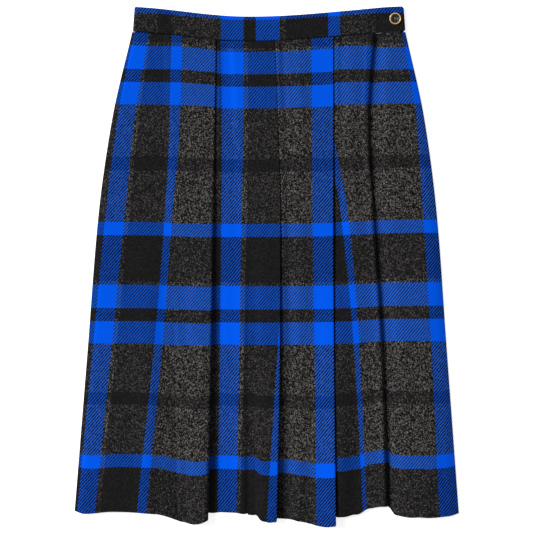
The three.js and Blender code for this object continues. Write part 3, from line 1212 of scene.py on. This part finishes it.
    def place(self, section: np.ndarray, down: float) -> np.ndarray:
        """Points in space of a section's loop.

        Args:
            section: the loop's rows.
            down: distance below the seam.

        Returns:
            Rows of x, y and z.
        """
        x, z = section[:, 0], section[:, 1]
        droop = sum((ripple.droop(x) for ripple in self.ripples), section[:, 2])
        pinch = self.seam_pinch * math.exp(-max(0.0, down) / self.pinch_fade)
        return np.stack([x, cloth_y(x, down, droop), z - pinch * np.maximum(0, z - HIDDEN)], axis=-1)

    def loop(self, section: np.ndarray, thickness: float) -> np.ndarray:
        """Both sides of a wall whose mid line is the section.

        Args:
            section: rows that begin with x and z.
            thickness: the wall's thickness.

        Returns:
            One closed loop of the same rows.
        """
        run = directions(section[:, :2])
        normal = np.stack([-run[:, 1], run[:, 0]], axis=-1) * thickness / 2
        upper = section.copy()
        upper[:, :2] += normal
        lower = section.copy()
        lower[:, :2] -= normal
        return np.vstack([upper, lower[::-1]])

    def stations(self) -> list[tuple[float, float]]:
        """Where the panel's sections lie.

        Returns:
            Distances below the seam and the wall's thickness there, which is rounded off at both ends.
        """
        count = math.ceil(CLOTH_LENGTH / self.length_step)
        plain = [(down, WALL) for down in np.linspace(AIR + WALL / 2, CLOTH_LENGTH - WALL / 2, count)]
        bends = [(math.sin(a), math.cos(a)) for a in np.radians(self.end_bends)]
        top = [(plain[0][0] - WALL / 2 * out, WALL * thin) for out, thin in reversed(bends)]
        hem = [(plain[-1][0] + WALL / 2 * out, WALL * thin) for out, thin in bends]
        return top + plain + hem

    def build(self, material: bpy.types.Material) -> bpy.types.Object:
        """Makes the panel's mesh.

        Args:
            material: the cloth.

        Returns:
            The piece.
        """
        rings = []
        weave = []
        cloth = []
        for down, thickness in self.stations():
            loop = self.loop(self.section(down), thickness)
            points = self.place(loop, down)
            rings.append(points)
            slip = loop[:, 4] + weft_ease(points[:, 0], down)
            weave.append(np.stack([loop[:, 3], down + slip], axis=-1))
            cloth.append(np.stack([loop[:, 5], SEAM_Y - points[:, 1]], axis=-1))
        maps = {WEAVE_MAP: np.array(weave), CLOTH_MAP: np.array(cloth)}
        self.piece = outward(grid_mesh(self.name, np.array(rings), maps, material))
        return self.piece

    def declare(self) -> None:
        """Puts the piece on the body it rides on and hides the CAD part it replaces."""
        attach(self.piece, BODY)
        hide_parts(self.node)


@dataclass
class BackPanel(ClothPanel):
    """The back, built face up like the front and turned over, so that its face lies on the floor."""

    tuck_x: float = -155.0
    tuck_half: float = 40.0
    tuck_rise: float = 9.0

    def place(self, section: np.ndarray, down: float) -> np.ndarray:
        """Points in space, turned over; the hem stays above the front's tuck.

        Args:
            section: the loop's rows.
            down: distance below the seam.

        Returns:
            Rows of x, y and z.
        """
        x = section[:, 0]
        droop = section[:, 2] - self.tuck_rise * np.exp(-(((x - self.tuck_x) / self.tuck_half) ** 2))
        return np.stack([-x, cloth_y(-x, down, droop), FACE + BACK_FACE - section[:, 1]], axis=-1)


@dataclass
class Waistband:
    """One strip cut along the warp, folded round the left side; its front end laps over its back end."""

    name: str = "waistband_strip"
    node: str = "waistband"
    left: float = -171.4
    right: float = 178.0
    height: float = 31.4
    thickness: float = 3.0
    top_taper: float = 0.987
    edge_round: float = 1.3
    front_z: float = 7.5
    lap_z: float = 4.8
    lap_start: float = 120.0
    lap_end: float = 150.0
    step: float = 2.2
    edge_weave: float = 116.0
    blue_edge: tuple[float, float] = (8.4, 4.8)
    last_edge: int = 6
    edge_places: tuple[float, ...] = (
        -182, -139, -121, -58.2, -28.2, -13.4, 16.6, 26.2, 79.4, 94.7, 140.2, 178,
    )
    end_round: float = 2.2
    end_rise: float = 1.1
    half_waist: float = 174.0
    fold_steps: int = 16
    side_steps: int = 12
    corner_steps: int = 5
    piece: bpy.types.Object | None = field(default=None, repr=False)

    def path(self) -> np.ndarray:
        """Mid line of the strip from its front end round the left side to its back end.

        Returns:
            Rows of x and z.
        """
        middle = (self.front_z + self.thickness / 2) / 2
        bend = self.front_z - middle
        turn_x = self.left + bend + self.thickness / 2
        count = math.ceil((self.right - turn_x) / self.step)
        x = np.linspace(self.right, turn_x, count, endpoint=False)
        lap = ease(np.clip((x - self.lap_start) / (self.lap_end - self.lap_start), 0, 1))
        front = np.stack([x, self.front_z + (self.lap_z - self.front_z) * lap], axis=-1)
        angle = np.linspace(math.pi / 2, 3 * math.pi / 2, self.fold_steps, endpoint=False)
        fold = np.stack([turn_x + bend * np.cos(angle), middle + bend * np.sin(angle)], axis=-1)
        back_x = np.linspace(turn_x, self.right, count)
        back = np.stack([back_x, np.full(count, self.thickness / 2)], axis=-1)
        return np.vstack([front, fold, back])

    def outline(self) -> np.ndarray:
        """Section across the strip, with rounded edges.

        Returns:
            Rows of distance out from its mid line and up from the seam.
        """
        r = self.edge_round
        half = self.thickness / 2
        side = np.linspace(r, self.height - r, self.side_steps)
        corner = np.radians(np.linspace(0, 90, self.corner_steps))[1:]
        low = [(half - r + r * math.cos(a), r - r * math.sin(a)) for a in corner[::-1]]
        high = [(half - r + r * math.cos(a), self.height - r + r * math.sin(a)) for a in corner]
        one = np.array(low + [(half, up) for up in side] + high)
        other = one[::-1] * (-1, 1)
        return np.vstack([one, other])

    def build(self, material: bpy.types.Material) -> bpy.types.Object:
        """Makes the strip's mesh, with its ends closed.

        Args:
            material: the cloth.

        Returns:
            The piece.
        """
        path = self.path()
        outline = self.outline()
        edges = [WEFT_SETT.edge(self.last_edge - i) for i in range(len(self.edge_places))]
        rings = []
        weave = []
        cloth = []
        for (px, pz), (rx, rz) in zip(path, directions(path)):
            past = max(0.0, self.end_round - self.right + px)
            trim = self.end_round - math.sqrt(max(0.0, self.end_round**2 - past**2))
            out, up = outline.T
            up = np.clip(up, trim, self.height - trim)
            x = (px - rz * out) * (1 + (self.top_taper - 1) * up / self.height)
            rise = self.end_rise * min(1.0, max(0.0, (px - self.lap_start) / (self.lap_end - self.lap_start)))
            y = SEAM_Y - seam_sag(x) + up * (1 + rise / self.height)
            rings.append(np.stack([x, y, pz + rx * out], axis=-1))
            side = abs(px) / self.half_waist
            blue = self.blue_edge[1] + (self.blue_edge[0] - self.blue_edge[1]) * side * side
            warp = self.edge_weave + up - (self.height - blue)
            weave.append(np.stack([warp, np.interp(x, self.edge_places, edges)], axis=-1))
            cloth.append(np.stack([x, self.height - y], axis=-1))
        maps = {WEAVE_MAP: np.array(weave), CLOTH_MAP: np.array(cloth)}
        self.piece = outward(grid_mesh(self.name, np.array(rings), maps, material))
        return self.piece

    def declare(self) -> None:
        """Puts the piece on the body it rides on and hides the CAD part it replaces."""
        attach(self.piece, BODY)
        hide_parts(self.node)


# Radii below this lie on the axis, in millimetres
ON_AXIS = 1e-6

# A direction that no strand of the button runs along
STRAND_ASIDE = Vector((0.13, 0.31, 0.94))


def lathe(name: str, profile: Sequence[tuple[float, float]], centre: Vector, sides: int) -> bpy.types.Object:
    """Turns a closed profile about a vertical axis.

    Args:
        name: the piece's name.
        profile: radius and height of its points, in millimetres; a radius of 0 closes on the axis.
        centre: foot of the axis, in metres.
        sides: how many sides it has.

    Returns:
        The new object.
    """
    verts = []
    rows = []
    for radius, height in profile:
        if radius < ON_AXIS:
            rows.append([len(verts)] * sides)
            verts.append((centre.x, centre.y, centre.z + height * MM))
            continue
        rows.append(list(range(len(verts), len(verts) + sides)))
        out = radius * MM
        for k in range(sides):
            a = 2 * math.pi * k / sides
            verts.append((centre.x + out * math.cos(a), centre.y + out * math.sin(a), centre.z + height * MM))
    faces = []
    closed = profile[0][0] > ON_AXIS
    pairs = list(zip(rows, rows[1:])) + ([(rows[-1], rows[0])] if closed else [])
    for low, high in pairs:
        for k in range(sides):
            j = (k + 1) % sides
            faces.append(list(dict.fromkeys((low[k], low[j], high[j], high[k]))))
    return outward(add_piece(name, verts, faces))


def tube(name: str, path: Sequence[Vector], radius: float, sides: int = 8) -> bpy.types.Object:
    """Makes a closed round strand.

    Args:
        name: the piece's name.
        path: points of its mid line, in metres.
        radius: its radius, in metres.
        sides: how many sides it has.

    Returns:
        The new object.
    """
    verts = []
    faces = []
    for i, point in enumerate(path):
        run = (path[min(i + 1, len(path) - 1)] - path[max(i - 1, 0)]).normalized()
        side = run.cross(STRAND_ASIDE).normalized()
        other = run.cross(side)
        for k in range(sides):
            a = 2 * math.pi * k / sides
            verts.append(point + side * radius * math.cos(a) + other * radius * math.sin(a))
    for i in range(len(path) - 1):
        for k in range(sides):
            j = (k + 1) % sides
            faces.append((i * sides + k, i * sides + j, (i + 1) * sides + j, (i + 1) * sides + k))
    faces.append(tuple(range(sides))[::-1])
    faces.append(tuple(range((len(path) - 1) * sides, len(path) * sides)))
    return outward(add_piece(name, [tuple(v) for v in verts], faces))


@dataclass
class Button:
    """Dark four-hole button in a brass rim, sewn on with crossed thread.

    Its dish is the disc's profile and its rim foot the ring's, as shares of their widths and heights.
    """

    dish: tuple[tuple[float, float], ...] = (
        (0, 0), (0.85, 0), (1, 0.3), (1, 0.75), (0.93, 1), (0.78, 1), (0.66, 0.72), (0.3, 0.62), (0, 0.6),
    )
    disc_sides: int = 48
    hole_pitch: float = 1.5
    hole_radius: float = 0.8
    hole_sides: int = 16
    hole_clearance: float = 1.0
    rim_foot: tuple[tuple[float, float], ...] = ((0, 0.1), (0.15, 0), (0.85, 0), (1, 0.15))
    rim_shoulder: float = 0.45
    rim_crown_steps: int = 8
    rim_sides: int = 64
    thread_radius: float = 0.32
    thread_steps: int = 12
    thread_spread: float = 1.25
    thread_bend: float = 0.75
    thread_bed: float = 0.62
    thread_lift: float = 0.45
    thread_stack: float = 0.25
    thread_drop: float = 1.6
    pieces: list[bpy.types.Object] = field(default_factory=list)

    def build(self, face: bpy.types.Material, rim: bpy.types.Material, thread: bpy.types.Material) -> None:
        """Makes the disc, the rim and the thread from where the CAD's button lies.

        Args:
            face: the disc's finish.
            rim: the rim's finish.
            thread: the thread's finish.
        """
        low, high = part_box("button")
        centre = Vector(((low.x + high.x) / 2, (low.y + high.y) / 2, low.z))
        radius = (high.x - low.x) / 2 / MM
        tall = (high.z - low.z) / MM
        disc = self.disc(centre, radius, tall)
        disc.data.materials.append(face)
        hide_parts("button")
        low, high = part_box("button_rim")
        ring = self.rim(centre, radius + AIR, (high.x - low.x) / 2 / MM, (high.z - low.z) / MM)
        ring.data.materials.append(rim)
        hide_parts("button_rim")
        sewn = self.thread(centre, tall)
        for strand in sewn:
            strand.data.materials.append(thread)
        self.pieces = [disc, ring, *sewn]
        for piece in self.pieces:
            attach(piece, BODY)

    def disc(self, centre: Vector, radius: float, tall: float) -> bpy.types.Object:
        """Makes the dished disc, with four holes cut through it.

        Args:
            centre: foot of the button's axis, in metres.
            radius: the disc's radius, in millimetres.
            tall: its height, in millimetres.

        Returns:
            The disc.
        """
        profile = [(radius * out, tall * up) for out, up in self.dish]
        disc = lathe("button_disc", profile, centre, self.disc_sides)
        top = tall + 2 * self.hole_clearance
        column = [(0, 0), (self.hole_radius, 0), (self.hole_radius, top), (0, top)]
        cutters = []
        for sx, sy in ((1, 1), (-1, 1), (-1, -1), (1, -1)):
            step = Vector((sx * self.hole_pitch, sy * self.hole_pitch, -self.hole_clearance))
            cutters.append(lathe("hole", column, centre + step * MM, self.hole_sides))
        for cutter in cutters:
            cut = disc.modifiers.new("hole", "BOOLEAN")
            cut.operation = "DIFFERENCE"
            cut.object = cutter
        make_plain(disc)
        for cutter in cutters:
            bpy.data.objects.remove(cutter)
        return disc

    def rim(self, centre: Vector, inner: float, outer: float, tall: float) -> bpy.types.Object:
        """Makes the rounded ring round the disc.

        Args:
            centre: foot of the button's axis, in metres.
            inner: the ring's inner radius, in millimetres.
            outer: its outer radius, in millimetres.
            tall: its height, in millimetres.

        Returns:
            The ring.
        """
        width = outer - inner
        profile = [(inner + width * out, tall * up) for out, up in self.rim_foot]
        for k in range(self.rim_crown_steps + 1):
            a = math.pi * k / self.rim_crown_steps
            crown = tall * self.rim_shoulder + tall * (1 - self.rim_shoulder) * math.sin(a)
            profile.append((inner + width / 2 + width / 2 * math.cos(a), crown))
        return lathe("button_ring", profile, centre, self.rim_sides)

    def thread(self, centre: Vector, tall: float) -> list[bpy.types.Object]:
        """Makes two crossed strands that run down into the holes.

        Args:
            centre: foot of the button's axis, in metres.
            tall: the disc's height, in millimetres.

        Returns:
            The strands.
        """
        strands = []
        for n, (sx, sy) in enumerate(((1, 1), (-1, 1))):
            path = []
            for k in range(self.thread_steps + 1):
                t = -1 + 2 * k / self.thread_steps
                reach = math.copysign(min(1.0, abs(t) * self.thread_spread), t) * self.hole_pitch
                dip = max(0.0, abs(t) - self.thread_bend) / (1 - self.thread_bend)
                height = tall * self.thread_bed + self.thread_lift + self.thread_stack * n
                height -= self.thread_drop * dip * dip
                path.append(centre + Vector((sx * reach, sy * reach, height)) * MM)
            strands.append(tube(f"button_thread_{n + 1}", path, self.thread_radius * MM))
        return strands


@dataclass
class SeamStitches:
    """A row of small stitches along a seam, made with Geometry Nodes."""

    name: str
    path: np.ndarray
    spacing: float = 3.4
    length: float = 2.8
    radius: float = 0.5

    def tree(self, material: bpy.types.Material) -> bpy.types.NodeTree:
        """Builds the tree that puts a rounded stitch at even steps along a line, turned to follow it.

        Args:
            material: the thread.

        Returns:
            The tree.
        """
        tree = bpy.data.node_groups.new("stitch row", "GeometryNodeTree")
        tree.interface.new_socket("Geometry", in_out="INPUT", socket_type="NodeSocketGeometry")
        for label in ("Spacing", "Length", "Radius"):
            tree.interface.new_socket(label, in_out="INPUT", socket_type=FLOAT)
        tree.interface.new_socket("Geometry", in_out="OUTPUT", socket_type="NodeSocketGeometry")
        graph = Graph(tree)
        given = graph.add("NodeGroupInput").outputs
        curve = graph.add("GeometryNodeMeshToCurve", {"Mesh": given["Geometry"]}).outputs[0]
        feeds = {"Curve": curve, "Length": given["Spacing"]}
        points = graph.add("GeometryNodeCurveToPoints", feeds, mode="LENGTH").outputs
        grain = graph.add("GeometryNodeMeshUVSphere", {"Segments": 8, "Rings": 5, "Radius": 1.0})
        half = graph.math("MULTIPLY", given["Length"], 0.5)
        size = graph.add("ShaderNodeCombineXYZ", {"X": given["Radius"], "Y": given["Radius"], "Z": half})
        feeds = {"Geometry": grain.outputs["Mesh"], "Scale": size.outputs[0]}
        stitch = graph.add("GeometryNodeTransform", feeds).outputs["Geometry"]
        feeds = {"Points": points["Points"], "Instance": stitch, "Rotation": points["Rotation"]}
        placed = graph.add("GeometryNodeInstanceOnPoints", feeds).outputs["Instances"]
        real = graph.add("GeometryNodeRealizeInstances", {"Geometry": placed}).outputs["Geometry"]
        dressed = graph.add("GeometryNodeSetMaterial", {"Geometry": real, "Material": material})
        graph.add("NodeGroupOutput", {"Geometry": dressed.outputs["Geometry"]})
        return tree

    def build(self, material: bpy.types.Material) -> bpy.types.Object:
        """Makes the row as a plain mesh that rides on the skirt.

        Args:
            material: the thread.

        Returns:
            The piece.
        """
        edges = [(i, i + 1) for i in range(len(self.path) - 1)]
        piece = add_piece(self.name, (self.path * MM).tolist(), [], edges)
        modifier = piece.modifiers.new("stitches", "NODES")
        tree = self.tree(material)
        modifier.node_group = tree
        values = {"Spacing": self.spacing * MM, "Length": self.length * MM, "Radius": self.radius * MM}
        for item in tree.interface.items_tree:
            if item.in_out == "INPUT" and item.name in values:
                modifier[item.identifier] = values[item.name]
        piece.update_tag()
        make_plain(piece).data.shade_smooth()
        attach(piece, BODY)
        return piece


@dataclass(frozen=True)
class SeamLines:
    """Where the stitched seams run, in millimetres."""

    waist_left: float = -166.0
    waist_right: float = 170.0
    waist_steps: int = 90
    waist_z: float = 7.2
    lapped_z: float = 6.2
    lap_start: float = 118.0
    side_steps: int = 80
    side_margin: float = 6.0
    side_inset: float = 0.9
    side_droop: float = -1.5

    def waist(self) -> np.ndarray:
        """Line of the seam under the waistband's front, between the side folds.

        Returns:
            Its points.
        """
        x = np.linspace(self.waist_left, self.waist_right, self.waist_steps)
        z = np.where(x > self.lap_start, self.lapped_z, self.waist_z)
        return np.stack([x, SEAM_Y - seam_sag(x) + AIR / 2, z], axis=-1)

    def side(self, sign: int) -> np.ndarray:
        """Line of a side seam, between the front's edge and the back's.

        Args:
            sign: -1 for the left one, 1 for the right one.

        Returns:
            Its points.
        """
        edge = LEFT_SIDE if sign < 0 else RIGHT_SIDE
        down = np.linspace(self.side_margin, CLOTH_LENGTH - self.side_margin, self.side_steps)
        x = np.array([at_level(edge, d) for d in down]) - sign * self.side_inset
        droop = np.array([self.side_droop])
        y = np.array([cloth_y(np.array([px]), d, droop)[0] for px, d in zip(x, down)])
        return np.stack([x, y, np.full(len(x), WALL + AIR / 2)], axis=-1)


@dataclass
class Studio:
    """Camera straight above, soft light from the left and a pale floor."""

    picture_width: float = 0.68224
    camera_height: float = 2.2
    focus_height: float = 0.008
    sensor: float = 36.0
    clip_end: float = 20.0
    world_strength: float = 0.28
    floor_half: float = 8.0
    floor_sink: float = 0.0004
    floor_shade: float = 0.8
    floor_roughness: float = 0.9
    floor_glow: float = 0.75
    key_strength: float = 3.36
    key_angle: float = 20.0
    key_from: tuple[float, float, float] = (-1.3, 0.6, 1.5)

    def build(self) -> None:
        """Makes the camera, the lights, the floor and the world."""
        scene = bpy.context.scene
        lens = self.sensor * (self.camera_height - self.focus_height) / self.picture_width
        data = bpy.data.cameras.new("camera")
        data.sensor_width = self.sensor
        data.lens = lens
        data.clip_end = self.clip_end
        camera = bpy.data.objects.new("camera", data)
        camera.location = (0, 0, self.camera_height)
        scene.collection.objects.link(camera)
        scene.camera = camera
        light = bpy.data.lights.new("key", "SUN")
        light.energy = self.key_strength
        light.angle = math.radians(self.key_angle)
        key = bpy.data.objects.new("key", light)
        key.location = self.key_from
        key.rotation_euler = (-Vector(self.key_from)).to_track_quat("-Z", "Y").to_euler()
        scene.collection.objects.link(key)
        world = bpy.data.worlds.new("room")
        world.use_nodes = True
        sky = world.node_tree.nodes["Background"]
        sky.inputs["Color"].default_value = (1, 1, 1, 1)
        sky.inputs["Strength"].default_value = self.world_strength
        scene.world = world
        scene.view_settings.view_transform = "Standard"
        self.floor()

    def floor(self) -> None:
        """A wide pale floor, declared as stage."""
        half = self.floor_half
        corners = [(-half, -half, 0), (half, -half, 0), (half, half, 0), (-half, half, 0)]
        floor = add_piece("floor", corners, [(0, 1, 2, 3)])
        floor.location.z = -self.floor_sink
        material, _, shader = start_material("pale floor", self.floor_roughness)
        shader.inputs["Base Color"].default_value = (self.floor_shade,) * 3 + (1,)
        shader.inputs["Specular IOR Level"].default_value = 0.0
        shader.inputs["Emission Color"].default_value = (1, 1, 1, 1)
        shader.inputs["Emission Strength"].default_value = self.floor_glow
        floor.data.materials.append(material)
        floor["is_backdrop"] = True


def measure(step: Callable[[], tuple[Vector, Vector]]) -> list[list[float]]:
    """The model's box as plain lists of numbers."""
    return [list(corner) for corner in step()]


def main() -> None:
    """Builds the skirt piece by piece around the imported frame, then its studio."""
    logging.basicConfig(level=logging.INFO, format="%(name)s: %(message)s")
    cad_box = measure(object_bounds)
    Studio().build()
    wool = PlaidWool().make()
    front = ClothPanel(
        "front_panel", "skirt_front", FRONT_LINES, FRONT_STRIPES, FRONT_CREASES, FRONT_RIPPLES,
        rests_on=("skirt_back",),
    )
    back = BackPanel("back_panel", "skirt_back", back_lines(), BACK_STRIPES, BACK_CREASES)
    band = Waistband()
    for part in (front, back, band):
        piece = part.build(wool)
        part.declare()
        LOG.info("%s: %d faces", piece.name, len(piece.data.polygons))
    button = Button()
    button.build(Moulded().make(), Brass().make(), Thread("button thread", srgb(150, 140, 120)).make())
    for piece in button.pieces:
        LOG.info("%s: %d faces", piece.name, len(piece.data.polygons))
    # Near-black seam thread. Along the waist seam its large dark stitches are partly real stitching and
    # partly a dark thing standing in for the shade under the waistband's lower edge.
    dark = Thread("seam thread", srgb(30, 30, 34)).make()
    seams = SeamLines()
    rows = (
        # The waist row also stands in for the shade along the seam under the waistband.
        SeamStitches("waist_seam_stitches_and_shade", seams.waist()),
        SeamStitches("left_side_stitches", seams.side(-1), spacing=4.0),
        SeamStitches("right_side_stitches", seams.side(1), spacing=4.0),
    )
    for row in rows:
        piece = row.build(dark)
        LOG.info("%s: %d faces", piece.name, len(piece.data.polygons))
    {"cad": cad_box, "visual": measure(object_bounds)}


if __name__ == "__main__":
    main()
